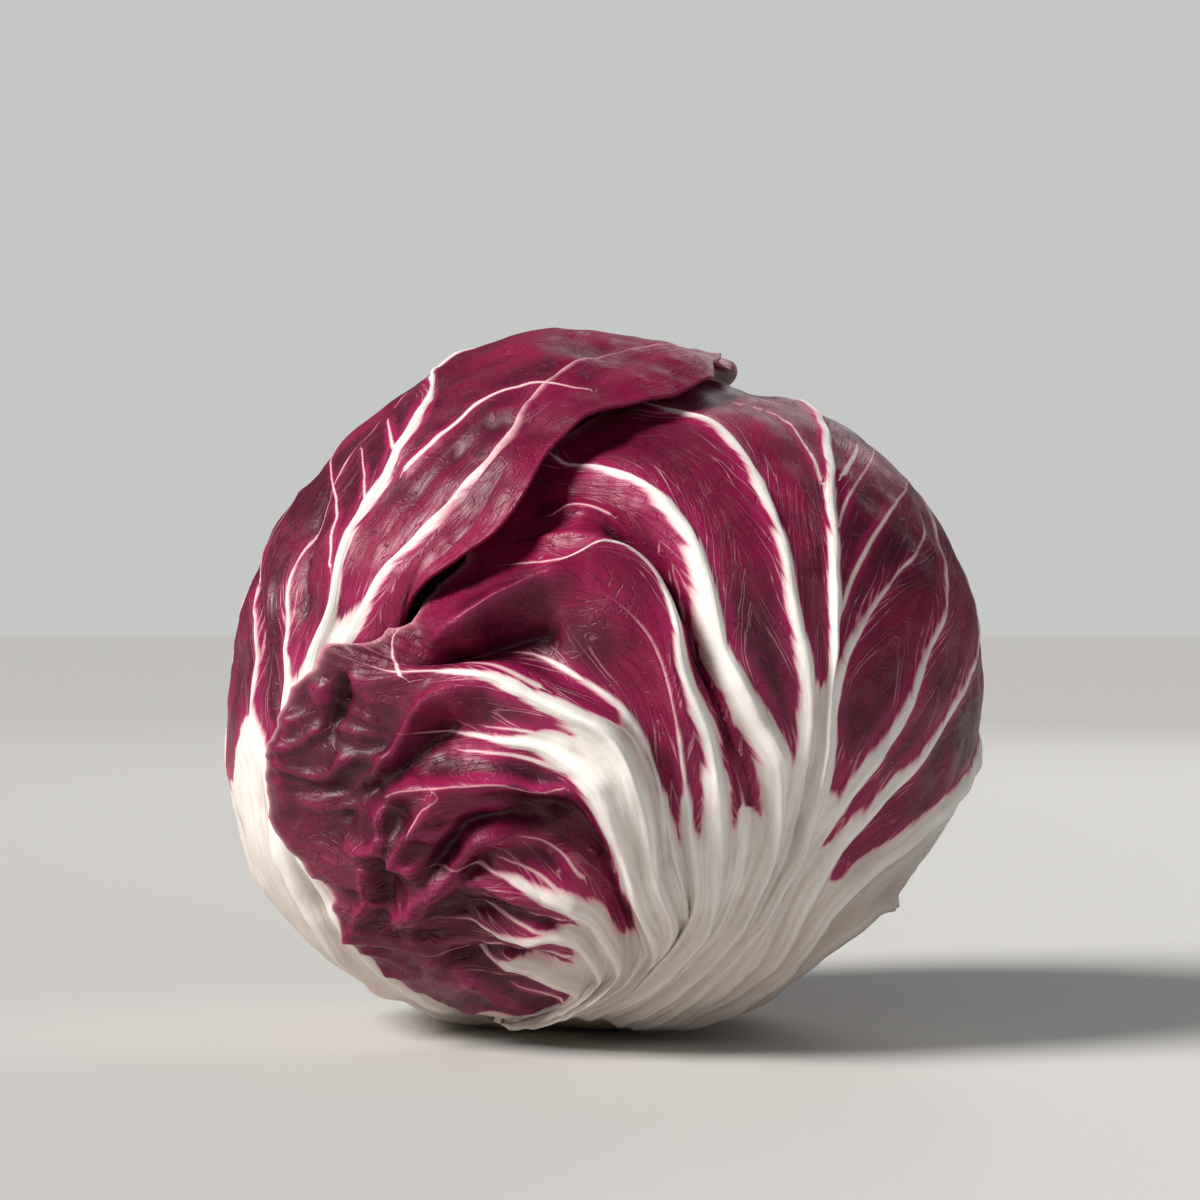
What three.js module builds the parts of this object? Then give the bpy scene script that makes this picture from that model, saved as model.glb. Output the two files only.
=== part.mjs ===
// A round red radicchio head of the Chioggia type, standing on its cut stem and leaf bases.
// Each outer leaf is its own solid: a sheet lofted through its ribs, which start on a ring round the
// stem and run up over the ball of the head. Under the leaves lie the tight heart and the cut stem.
// Millimetres, +Z up. The origin is on the surface under the middle of the head, and -Y is its near side.
import * as THREE from "three";

// Driving dimensions
const HEAD_CENTRE = new THREE.Vector3(-0.5, 0.8, 56.5);
const NEAR_RADIUS = 59.2; // from the centre to the side that faces the viewer
const FAR_RADIUS = 61.2; // and to the side behind
const STEM_LEAN = new THREE.Vector3(-0.1, -0.25, -0.96).normalize(); // from the centre to the cut stem
const STEM_CUT_REACH = 56; // from the centre to the cut face, along the lean
const STEM_CUT_RADIUS = 10.4;
const STEM_TOP_RADIUS = 8.6;
const LEAF_RING = 12.5; // degrees from the stem's axis to where the leaf bases start
const HEART_DEPTH = 11; // how far the heart lies under the outside of the head
const HEART_SIDES = 36;
const HEART_ROWS = 20;
const COLUMNS_PER_RIB = 3; // a ridge and the dip beside it
const BASE_THICKNESS = 2.6; // a leaf's white base
const BLADE_THICKNESS = 1.1; // its purple blade
const RIM_THICKNESS = 0.8; // and its free edge
const RIB_RELIEF = 0.8; // how far a rib stands out of the blade at its foot
const EDGE_NOTCH = 0.025; // the waves cut into a leaf's edge, as a share of the rib's length

// The head's outline as its near side is seen: radii every 15 degrees, anticlockwise from the right.
const OUTLINE_STEP = 15;
const OUTLINE_RADII = [
  62.5, 63, 61.8, 60.2, 57.8, 58.2, 58.4, 60.2, 59.4, 59.4, 60.2, 61.4,
  61.4, 63.6, 64.6, 63.6, 61, 59, 58, 58.8, 60, 59.4, 59.6, 61.8,
];

// Where the reference photograph, 1200 pixels square, shows the head.
const PHOTO_CENTRE_X = 603;
const PHOTO_CENTRE_Y = 690;
const MM_PER_PIXEL = 0.168;
const LIMB_TURN = Math.asin(60 / 560); // the limb that is seen lies this far in front of the true side

const WHITE = new THREE.Color(0.86, 0.8, 0.74);
const WINE = new THREE.Color(0.33, 0.03, 0.11);

const radians = THREE.MathUtils.degToRad;
const clamp = THREE.MathUtils.clamp;

// Cubic curve through rows of numbers at rising knots, with its slope at each knot taken from its neighbours.
function curveThrough(knots, rows, t) {
  const last = knots.length - 1;
  let i = 0;
  while (i < last - 1 && t > knots[i + 1]) i++;
  const span = knots[i + 1] - knots[i];
  const s = clamp((t - knots[i]) / span, 0, 1);
  const slope = (k, n) => {
    const a = Math.max(k - 1, 0);
    const b = Math.min(k + 1, last);
    return ((rows[b][n] - rows[a][n]) / (knots[b] - knots[a])) * span;
  };
  return rows[i].map((start, n) => {
    const end = rows[i + 1][n];
    const leave = slope(i, n);
    const arrive = slope(i + 1, n);
    const c = 3 * (end - start) - 2 * leave - arrive;
    const d = leave + arrive - 2 * (end - start);
    return start + s * (leave + s * (c + s * d));
  });
}

// The outline's radius at a clock angle in radians, anticlockwise from the right.
function outlineRadius(clock) {
  const turns = OUTLINE_RADII.length;
  const place = (((THREE.MathUtils.radToDeg(clock) / OUTLINE_STEP) % turns) + turns) % turns;
  const i = Math.floor(place);
  const at = (k) => [OUTLINE_RADII[(k + turns) % turns]];
  return curveThrough([-1, 0, 1, 2], [at(i - 1), at(i), at(i + 1), at(i + 2)], place - i)[0];
}

// The head's outside, with no leaf relief: an ellipsoid whose side radius follows the outline.
function ballRadius(direction) {
  const side = outlineRadius(Math.atan2(direction.z, direction.x));
  const along = direction.y < 0 ? NEAR_RADIUS : FAR_RADIUS;
  const across = Math.max(1 - direction.y ** 2, 0);
  return 1 / Math.sqrt(across / side ** 2 + direction.y ** 2 / along ** 2);
}

// A place on the near side, by where the photograph shows it, and how far it stands proud of the ball.
function seen(x, y, lift = 0) {
  const right = (x - PHOTO_CENTRE_X) * MM_PER_PIXEL;
  const up = (PHOTO_CENTRE_Y - y) * MM_PER_PIXEL;
  const clock = Math.atan2(up, right);
  const reach = Math.min(Math.hypot(right, up) / outlineRadius(clock), 1);
  const away = Math.asin(reach) - reach * LIMB_TURN;
  return [Math.sin(away) * Math.cos(clock), -Math.cos(away), Math.sin(away) * Math.sin(clock), lift];
}

// A place by growth: degrees turned round the stem's axis from the near side to the right, and
// degrees risen from the cut stem towards the crown.
const stemFront = new THREE.Vector3(0, -1, 0).addScaledVector(STEM_LEAN, STEM_LEAN.y).normalize();
const stemSide = new THREE.Vector3().crossVectors(stemFront, STEM_LEAN);
function grown(turn, rise, lift = 0) {
  const d = new THREE.Vector3()
    .addScaledVector(STEM_LEAN, Math.cos(radians(rise)))
    .addScaledVector(stemFront, Math.sin(radians(rise)) * Math.cos(radians(turn)))
    .addScaledVector(stemSide, Math.sin(radians(rise)) * Math.sin(radians(turn)));
  return [d.x, d.y, d.z, lift];
}

// A rib is its points, from the stem to the leaf's edge, with knots at their distances along it.
function rib(...points) {
  const knots = [0];
  points.slice(1).forEach((p, i) => {
    knots.push(knots[i] + Math.hypot(p[0] - points[i][0], p[1] - points[i][1], p[2] - points[i][2]));
  });
  const length = knots[knots.length - 1];
  return { points, knots: knots.map((k) => k / length) };
}

// The near leaf, the largest. Its ribs fan out of the white base: those on the left bend at a knee
// and end in the crumpled edge over the left leaf, and those on the right run round behind the head.
const frontLeafRibs = [
  rib(grown(-72, LEAF_RING), seen(515, 1017, -0.3), seen(470, 1006, 0.3), seen(430, 985, 1.4), seen(386, 960, 2)),
  rib(grown(-62, LEAF_RING, 0.5), seen(576, 980, 0.5), seen(543, 968, 0.5), seen(505, 958), seen(460, 950),
    seen(415, 945, 1), seen(350, 926, 2)),
  rib(grown(-52, LEAF_RING, 1), seen(598, 960, 1.2), seen(584, 930, 1.5), seen(560, 919, 1.5), seen(523, 926, 1),
    seen(465, 920, -0.5), seen(395, 908, 0.8), seen(328, 892, 2)),
  rib(grown(-41, LEAF_RING, 1.5), seen(617, 950, 1.5), seen(600, 905, 2), seen(575, 886, 2.5), seen(543, 876, 2),
    seen(505, 864, 1), seen(460, 862, -1), seen(385, 858, 0.5), seen(300, 858, 2.2)),
  rib(grown(-30, LEAF_RING, 1), seen(636, 955), seen(620, 885, -2.5), seen(590, 822, -3), seen(540, 800, -2),
    seen(465, 800, 0.5), seen(400, 800, 0.5), seen(330, 795), seen(272, 780, 2.4)),
  rib(grown(-19, LEAF_RING, 1), seen(648, 950, 1), seen(630, 870, 1.5), seen(612, 795, 3), seen(585, 757, 3),
    seen(545, 741, 2), seen(500, 733, 1), seen(450, 726, -1.2), seen(380, 728, 0.5), seen(297, 704, 2.4)),
  rib(grown(-9, LEAF_RING, 0.5), seen(662, 930, 0.5), seen(646, 850, 1.5), seen(628, 775, 4), seen(603, 728, 4),
    seen(565, 706, 3), seen(530, 686, 3), seen(490, 666, 3), seen(440, 661, 2), seen(390, 662, 0.8),
    seen(336, 642, 2.2)),
  rib(grown(1, LEAF_RING), seen(678, 930), seen(664, 835, 0.5), seen(646, 762, 2), seen(612, 703, 1.5),
    seen(565, 664, -0.5), seen(525, 640, -3.2), seen(475, 640, -3), seen(425, 650, -1), seen(376, 616, 1.6)),
  rib(grown(8, LEAF_RING), seen(688, 905, 0.2), seen(689, 820, 0.3), seen(676, 710, 1.2), seen(650, 632, 1.5),
    seen(606, 590, 2), seen(553, 570, 1.5), seen(510, 587, 2), seen(475, 605, 2), seen(440, 612, 0.5),
    seen(412, 600, -1.5)),
  rib(grown(15, LEAF_RING, 0.5), seen(703, 925, 0.5), seen(716, 840, 0.5), seen(713, 740, 1), seen(690, 665, 1),
    seen(668, 592, 1.5), seen(645, 553, 2), seen(610, 538, 1.5), seen(563, 548), seen(520, 546, -3),
    seen(470, 545, -5), seen(430, 545, -5.6)),
  rib(grown(26, LEAF_RING), seen(725, 905, -1), seen(747, 810, -1), seen(733, 730, -2), seen(710, 640, -2.5),
    seen(672, 575, -2.5), seen(635, 525, -2.8), seen(590, 500, -3), seen(545, 492, -5), seen(490, 488, -5.5),
    seen(455, 480, -5.5)),
  rib(grown(38, LEAF_RING, 0.5), seen(735, 925, 0.5), seen(772, 835, 1), seen(778, 762, 1), seen(753, 695, 1),
    seen(727, 640, 1), seen(704, 570, 1), seen(680, 521, 0.8), seen(644, 480, 0.3), seen(598, 454, -1.5),
    seen(560, 435, -4.5), seen(525, 405, -5)),
  rib(grown(52, LEAF_RING), seen(738, 925), seen(784, 830), seen(806, 750, 0.5), seen(812, 690, 1),
    seen(800, 612, 1), seen(768, 502, 0.8), seen(718, 426), seen(668, 395, -2.5), seen(625, 370, -4.5)),
  rib(grown(66, LEAF_RING, 0.5), seen(742, 938, 0.5), seen(793, 838, 1), seen(822, 755, 1.2), seen(833, 660, 1.2),
    seen(832, 560, 1.2), seen(827, 480, 1), seen(803, 409, 0.5), grown(52, 150, -2), grown(60, 163, -4)),
  rib(grown(75, LEAF_RING), seen(748, 942), seen(800, 848, 0.3), seen(831, 760, 0.4), seen(846, 672, 0.4),
    seen(869, 615, 0.5), seen(893, 575, 0.5), seen(921, 526, 0.4), grown(64, 130), grown(70, 147, -1.5),
    grown(76, 161, -3.8)),
  rib(grown(84, LEAF_RING, 0.2), seen(756, 945, 0.2), seen(798, 855, 0.3), seen(853, 782, 0.5), seen(897, 722, 0.6),
    seen(926, 655, 0.6), seen(944, 598, 0.6), grown(66, 115, 0.5), grown(76, 133, 0.3), grown(84, 148, -1),
    grown(93, 158, -3)),
  rib(grown(94, LEAF_RING), seen(768, 958), seen(812, 876, 0.3), seen(858, 815, 0.4), seen(911, 764, 0.5),
    seen(952, 700, 0.7), seen(972, 640, 0.7), grown(87, 121, 0.5), grown(97, 140, 0.2), grown(107, 153, -1)),
  rib(grown(104, LEAF_RING), seen(775, 970), seen(841, 882, 0.2), seen(897, 838, 0.5), seen(948, 792, 0.7),
    grown(95, 92, 0.9), grown(101, 112, 0.9), grown(108, 130, 0.8), grown(117, 144, 0.8)),
  rib(grown(113, LEAF_RING), seen(765, 996), seen(822, 950), seen(872, 908, 0.3), grown(106, 66, 0.9),
    grown(113, 86, 1), grown(119, 106, 1), grown(126, 126, 1)),
];

// The left leaf. Its white base comes from under the near leaf, and its blade folds over the crown.
const leftLeafRibs = [
  rib(grown(-150, 13.5, -0.6), grown(-138, 40), grown(-130, 72, 0.3), grown(-128, 104, 0.3),
    grown(-134, 130, 0.3), grown(-150, 146, 0.3)),
  rib(grown(-141, 13.5, -0.6), grown(-124, 42), grown(-112, 75), grown(-109, 105), grown(-116, 132),
    grown(-158, 160, 0.3)),
  rib(grown(-132, 13.5, -0.6), seen(415, 1003, -0.3), seen(338, 944, 0.5), seen(287, 862, 1), seen(264, 770, 0.5),
    seen(256, 700, 0.5), seen(256, 640, 0.5), seen(260, 575, 0.5), seen(298, 502), grown(-84, 138, 0.5),
    grown(-112, 160, 0.5), grown(-178, 168, 0.5)),
  rib(grown(-122, 13.5, -0.8), seen(425, 998, -0.6), seen(350, 936, -0.2), seen(300, 862, -0.4), seen(280, 775, -0.2),
    seen(279, 700, -0.5), seen(283, 622, -0.5), seen(290, 572, -0.3), seen(325, 500), seen(382, 422, 0.5),
    grown(-62, 152, 0.5), grown(-80, 174, 0.8), grown(150, 164, 1.2)),
  rib(grown(-110, 13.5, -1.8), seen(432, 990, -2), seen(365, 922, -1.2), seen(318, 850, -0.8), seen(298, 765, -0.6),
    seen(303, 694, -0.2), seen(318, 636, 0.4), seen(336, 585, 0.9), seen(366, 510, 1.2), seen(393, 467, 1.2),
    seen(414, 435, 1.1), seen(436, 400, 1), seen(449, 370, 1), grown(-40, 157, 1), grown(70, 176, 1.5),
    grown(112, 160, 2.4)),
  rib(grown(-98, 13.5, -3), seen(442, 972, -3.2), seen(378, 900, -2.8), seen(336, 820, -2.4), seen(318, 745, -2),
    seen(323, 680, -1.2), seen(341, 628), seen(366, 588, 0.6), seen(393, 556, 0.8), seen(441, 507, 0.8),
    seen(468, 478, 0.8), seen(497, 447, 1), seen(542, 388, 1), grown(8, 152, 1), grown(70, 157, 2.2)),
  rib(grown(-86, 13.5, -3.8), seen(458, 950, -4.2), seen(402, 870, -4.2), seen(362, 790, -4), seen(350, 705, -3.5),
    seen(376, 628, -1.4), seen(425, 545, 1), seen(465, 500, 1.2), seen(515, 440, 1.5), seen(575, 398, 1.5),
    seen(650, 367, 2), grown(42, 150, 2.5)),
  rib(grown(-74, 13.5, -4), seen(475, 930, -4.8), seen(435, 850, -5.2), seen(400, 765, -5.4), seen(386, 680, -5),
    seen(400, 594, -1.4), seen(462, 552, 1.6), seen(500, 527, 2.5), seen(530, 487, 3), seen(552, 446, 3),
    seen(602, 416, 3), seen(664, 401, 3), seen(716, 380, 3.5)),
];

// An outer leaf at the back: its ribs fan evenly to both sides of a midrib, and where a neighbour
// covers a side the ribs there lie deeper. Lifts run in the sense of rising turn.
function backLeafRibs({ turn, baseSpread, bladeSpread, top, shoulder, lifts }) {
  const middle = (lifts.length - 1) / 2;
  return lifts.map((lift, i) => {
    const side = (i - middle) / middle;
    const end = top - shoulder * side ** 2;
    const at = (share, spread) =>
      grown(turn + side * spread, LEAF_RING + 1 + (end - LEAF_RING) * share, lift);
    return rib(
      at(0, baseSpread),
      at(0.22, baseSpread * 0.3 + bladeSpread * 0.7),
      at(0.5, bladeSpread),
      at(0.78, bladeSpread),
      at(1, bladeSpread * 0.92),
    );
  });
}

const rightBackLeafRibs = backLeafRibs({
  turn: 120, baseSpread: 44, bladeSpread: 48, top: 150, shoulder: 20,
  lifts: [-3.8, -3.8, -3.8, -3.6, -0.6, 0, 0],
});
const backLeafRibsList = backLeafRibs({
  turn: 174, baseSpread: 20, bladeSpread: 38, top: 154, shoulder: 20,
  lifts: [-4.9, -4.9, -4.6, -0.9, 0, 0, 0],
});
const leftBackLeafRibs = backLeafRibs({
  turn: -138, baseSpread: 22, bladeSpread: 40, top: 142, shoulder: 22,
  lifts: [-3.8, -3.8, -3.8, -3.8, -3.8, -5, -6.8],
});

// A leaf's outer surface at u across its ribs and v along them: a direction, and the lift off the ball.
function leafSurface(ribs, u, v) {
  const along = ribs.map((r) => curveThrough(r.knots, r.points, v));
  const knots = ribs.map((r, i) => i);
  const [x, y, z, lift] = curveThrough(knots, along, u * (ribs.length - 1));
  return { direction: new THREE.Vector3(x, y, z).normalize(), lift };
}

// A closed sheet over a grid of places: outer face, inner face and the rim between them. No point
// lies lower than its leaf's floor, so the leaves that carry the head are flat under it.
function leafGeometry({ ribs, rowCount, floor = 0, wave = 0.5, waves = 9 }) {
  const columns = (ribs.length - 1) * COLUMNS_PER_RIB;
  const outer = [];
  const inner = [];
  for (let j = 0; j <= rowCount; j++) {
    for (let i = 0; i <= columns; i++) {
      const u = i / columns;
      const v = j / rowCount;
      const swing = Math.sin(waves * 2 * Math.PI * u);
      const { direction, lift } = leafSurface(ribs, u, v * (1 - EDGE_NOTCH * (0.5 + 0.5 * swing)));
      const edge = v ** 8;
      const ruffle = wave * edge * swing;
      const ridge = i % COLUMNS_PER_RIB === 0 ? RIB_RELIEF * (1 - v) * Math.min(v / 0.1, 1) : 0;
      let reach = ballRadius(direction) + lift + ruffle + ridge;
      if (direction.z < 0) reach = Math.min(reach, (HEAD_CENTRE.z - floor) / -direction.z);
      const blade = BASE_THICKNESS + (BLADE_THICKNESS - BASE_THICKNESS) * Math.min(v / 0.35, 1);
      const thickness = blade + (RIM_THICKNESS - blade) * edge;
      outer.push(direction.clone().multiplyScalar(reach).add(HEAD_CENTRE));
      inner.push(direction.clone().multiplyScalar(reach - thickness).add(HEAD_CENTRE));
    }
  }
  const triangles = [];
  const across = columns + 1;
  const face = (points, a, b, c) => triangles.push(points[a], points[b], points[c]);
  for (let j = 0; j < rowCount; j++) {
    for (let i = 0; i < columns; i++) {
      const a = j * across + i;
      const b = a + 1;
      const c = a + across;
      const d = c + 1;
      face(outer, a, b, d);
      face(outer, a, d, c);
      face(inner, a, d, b);
      face(inner, a, c, d);
    }
  }
  const wall = (a, b) => triangles.push(outer[a], inner[a], inner[b], outer[a], inner[b], outer[b]);
  for (let i = 0; i < columns; i++) {
    wall(i, i + 1);
    wall(rowCount * across + i + 1, rowCount * across + i);
  }
  for (let j = 0; j < rowCount; j++) {
    wall((j + 1) * across, j * across);
    wall(j * across + columns, (j + 1) * across + columns);
  }
  return new THREE.BufferGeometry().setFromPoints(triangles);
}

// The heart: the tight inner leaves as one body, with the spiral steps of their overlapping edges,
// and flat below, where it grows from the stem.
function heartGeometry() {
  const stepTurns = 5; // leaf edges met in one turn round the head
  const stepDepth = 1.2;
  const bottomReach = STEM_CUT_REACH - 12;
  const point = (turn, rise) => {
    const [x, y, z] = grown(turn, rise);
    const direction = new THREE.Vector3(x, y, z);
    const spiral = ((turn / 360) * stepTurns + rise / 150 + stepTurns) % 1;
    const relief = stepDepth * spiral * Math.sin(radians(rise));
    let reach = ballRadius(direction) - HEART_DEPTH - relief;
    const down = Math.cos(radians(rise));
    if (down > 0) reach = Math.min(reach, bottomReach / down);
    return direction.multiplyScalar(reach).add(HEAD_CENTRE);
  };
  const bottom = point(0, 0);
  const top = point(0, 180);
  const ring = (j) =>
    Array.from({ length: HEART_SIDES }, (_, i) => point((i / HEART_SIDES) * 360, (j / HEART_ROWS) * 180));
  const triangles = [];
  for (let j = 1; j < HEART_ROWS; j++) {
    const here = ring(j);
    const above = ring(j + 1);
    for (let i = 0; i < HEART_SIDES; i++) {
      const k = (i + 1) % HEART_SIDES;
      if (j === 1) triangles.push(bottom, here[k], here[i]);
      if (j < HEART_ROWS - 1) triangles.push(here[i], here[k], above[k], here[i], above[k], above[i]);
      else triangles.push(here[i], here[k], top);
    }
  }
  return new THREE.BufferGeometry().setFromPoints(triangles);
}

// The cut stem: a short round stump, a little wider at the cut, flat where it meets the surface.
function stemGeometry() {
  const sides = 28;
  const length = 11.5;
  const profile = [
    new THREE.Vector2(0, 0),
    new THREE.Vector2(STEM_CUT_RADIUS - 0.8, 0),
    new THREE.Vector2(STEM_CUT_RADIUS, 0.8),
    new THREE.Vector2(STEM_CUT_RADIUS - 0.3, 4),
    new THREE.Vector2(STEM_TOP_RADIUS, length),
    new THREE.Vector2(0, length),
  ];
  const geometry = new THREE.LatheGeometry(profile, sides);
  const upright = new THREE.Quaternion().setFromUnitVectors(new THREE.Vector3(0, -1, 0), STEM_LEAN);
  geometry.applyQuaternion(upright);
  const foot = HEAD_CENTRE.clone().addScaledVector(STEM_LEAN, STEM_CUT_REACH);
  geometry.translate(foot.x, foot.y, foot.z);
  const place = geometry.getAttribute("position");
  for (let i = 0; i < place.count; i++) place.setZ(i, Math.max(place.getZ(i), 0));
  return geometry;
}

function mesh(name, geometry, color, roughness) {
  const made = new THREE.Mesh(geometry, new THREE.MeshStandardMaterial({ color, roughness, metalness: 0 }));
  made.name = name;
  return made;
}

const head = new THREE.Group();
const leaf = (name, settings) => head.add(mesh(name, leafGeometry(settings), WINE, 0.4));
leaf("leaf_front", { ribs: frontLeafRibs, rowCount: 20, waves: 11 });
leaf("leaf_left", { ribs: leftLeafRibs, rowCount: 20, waves: 5 });
leaf("leaf_right_back", { ribs: rightBackLeafRibs, rowCount: 12 });
leaf("leaf_back", { ribs: backLeafRibsList, rowCount: 12 });
leaf("leaf_left_back", { ribs: leftBackLeafRibs, rowCount: 12, floor: 3.6 });
head.add(mesh("heart", heartGeometry(), WINE, 0.45));
head.add(mesh("stem", stemGeometry(), WHITE, 0.7));

export default head;
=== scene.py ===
"""A head of round red radicchio: five outer leaves wrapped round a tight heart, on a cut stem.

Each leaf is a sheet on a ball. It is lofted through its own ribs, raised and sunk by its folds, and
given the white of its ribs as a measure of how far each place lies inside the nearest rib or vein.
Shapes are worked out in millimetres and put into the meshes in metres. +Z is up and -Y the near side.
"""

import bpy
import numpy as np
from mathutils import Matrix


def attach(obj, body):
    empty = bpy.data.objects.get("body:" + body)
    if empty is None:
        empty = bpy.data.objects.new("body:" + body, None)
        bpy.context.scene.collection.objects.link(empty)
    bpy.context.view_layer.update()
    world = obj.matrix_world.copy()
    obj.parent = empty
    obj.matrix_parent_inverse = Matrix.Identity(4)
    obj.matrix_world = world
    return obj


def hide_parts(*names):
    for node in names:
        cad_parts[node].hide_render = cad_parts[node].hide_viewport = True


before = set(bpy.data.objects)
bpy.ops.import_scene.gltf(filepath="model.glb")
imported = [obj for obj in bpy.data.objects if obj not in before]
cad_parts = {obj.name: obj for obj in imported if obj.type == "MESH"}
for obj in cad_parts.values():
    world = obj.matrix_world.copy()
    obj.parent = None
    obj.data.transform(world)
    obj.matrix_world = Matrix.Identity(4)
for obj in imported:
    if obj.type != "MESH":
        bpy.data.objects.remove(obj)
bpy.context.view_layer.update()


# The near leaf: one large leaf of thick white ribs with thin wine-red blade between them. It grows
# from the near side of the stem and wraps the head's right. Its left half bends at a knee and lies
# crumpled over the left leaf. Only its base and its own curl hold it.
HEAD_CENTRE = np.array((-0.5, 0.8, 56.5))
NEAR_RADIUS = 59.2
FAR_RADIUS = 61.2
OUTLINE_STEP = 15  # degrees between the radii of the outline, anticlockwise from the right
OUTLINE_RADII = np.array((
    62.5, 63, 61.8, 60.2, 57.8, 58.2, 58.4, 60.2, 59.4, 59.4, 60.2, 61.4,
    61.4, 63.6, 64.6, 63.6, 61, 59, 58, 58.8, 60, 59.4, 59.6, 61.8,
))
PHOTO_CENTRE_X = 603
PHOTO_CENTRE_Y = 690
MM_PER_PIXEL = 0.168
LIMB_TURN = np.arcsin(60 / 560)  # the limb that is seen lies this far in front of the true side
STEM_LEAN = np.array((-0.1, -0.25, -0.96))
STEM_LEAN /= np.linalg.norm(STEM_LEAN)
LEAF_RING = 12.5  # degrees from the stem's axis to where the leaf bases start
MEAN_RADIUS = 60  # turns an angle at the head's centre into millimetres over the ball


def outline_radius(clock):
    """Radius of the head's outline at a clock angle: a smooth closed curve through OUTLINE_RADII."""
    turns = len(OUTLINE_RADII)
    place = np.degrees(clock) / OUTLINE_STEP % turns
    first = np.floor(place).astype(int)
    s = place - first
    a, b, c, d = (OUTLINE_RADII[(first + k) % turns] for k in (-1, 0, 1, 2))
    return b + 0.5 * s * (c - a + s * (2 * a - 5 * b + 4 * c - d + s * (3 * (b - c) + d - a)))


def ball_radius(direction):
    """Radius of the bare head: an ellipsoid, round the outline sideways and NEAR or FAR_RADIUS deep."""
    x, y, z = np.moveaxis(direction, -1, 0)
    side = outline_radius(np.arctan2(z, x))
    along = np.where(y < 0, NEAR_RADIUS, FAR_RADIUS)
    return 1 / np.sqrt(np.maximum(1 - y * y, 0) / side ** 2 + y * y / along ** 2)


def seen(x, y, lift=0.0):
    """A place on the near side by where the photograph shows it, and its height over the ball."""
    right = (x - PHOTO_CENTRE_X) * MM_PER_PIXEL
    up = (PHOTO_CENTRE_Y - y) * MM_PER_PIXEL
    clock = np.arctan2(up, right)
    reach = min(np.hypot(right, up) / outline_radius(clock), 1)
    away = np.arcsin(reach) - reach * LIMB_TURN
    return [np.sin(away) * np.cos(clock), -np.cos(away), np.sin(away) * np.sin(clock), lift]


STEM_FRONT = np.array((0, -1, 0)) + STEM_LEAN * STEM_LEAN[1]
STEM_FRONT /= np.linalg.norm(STEM_FRONT)
STEM_SIDE = np.cross(STEM_FRONT, STEM_LEAN)


def outward_at(turn):
    """Straight out from the stem's axis, at a turn round it from the near side."""
    return STEM_FRONT * np.cos(turn)[..., None] + STEM_SIDE * np.sin(turn)[..., None]


def grown(turn, rise, lift=0.0):
    """A place by growth: degrees turned round the stem from the near side, and risen from the stem."""
    turn, rise = np.radians(turn), np.radians(rise)
    return [*(STEM_LEAN * np.cos(rise) + outward_at(turn) * np.sin(rise)), lift]


def placed(point):
    """A point that seen or grown gave as it is. A plain (x, y) or (x, y, lift) is placed by seen."""
    return seen(*point) if isinstance(point, tuple) else point


def rib(*points):
    """A rib: knots from 0 to 1 at its points' distances from the stem, and the points."""
    points = np.array([placed(point) for point in points])
    steps = np.linalg.norm(np.diff(points[:, :3], axis=0), axis=1)
    knots = np.concatenate(([0], np.cumsum(steps)))
    return knots / knots[-1], points


def curve_through(knots, rows, t):
    """Cubic curve through rows of values at rising knots, with slopes from each knot's neighbours."""
    last = len(knots) - 1
    before = np.maximum(np.arange(last + 1) - 1, 0)
    after = np.minimum(np.arange(last + 1) + 1, last)
    apart = (-1,) + (1,) * (rows.ndim - 1)
    slope = (rows[after] - rows[before]) / (knots[after] - knots[before]).reshape(apart)
    i = np.clip(np.searchsorted(knots, t, side="right") - 1, 0, last - 1)
    span = (knots[i + 1] - knots[i]).reshape(apart)
    s = ((t - knots[i]) / (knots[i + 1] - knots[i])).reshape(apart)
    start, end = rows[i], rows[i + 1]
    leave, arrive = slope[i] * span, slope[i + 1] * span
    c = 3 * (end - start) - 2 * leave - arrive
    d = leave + arrive - 2 * (end - start)
    return start + s * (leave + s * (c + s * d))


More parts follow.
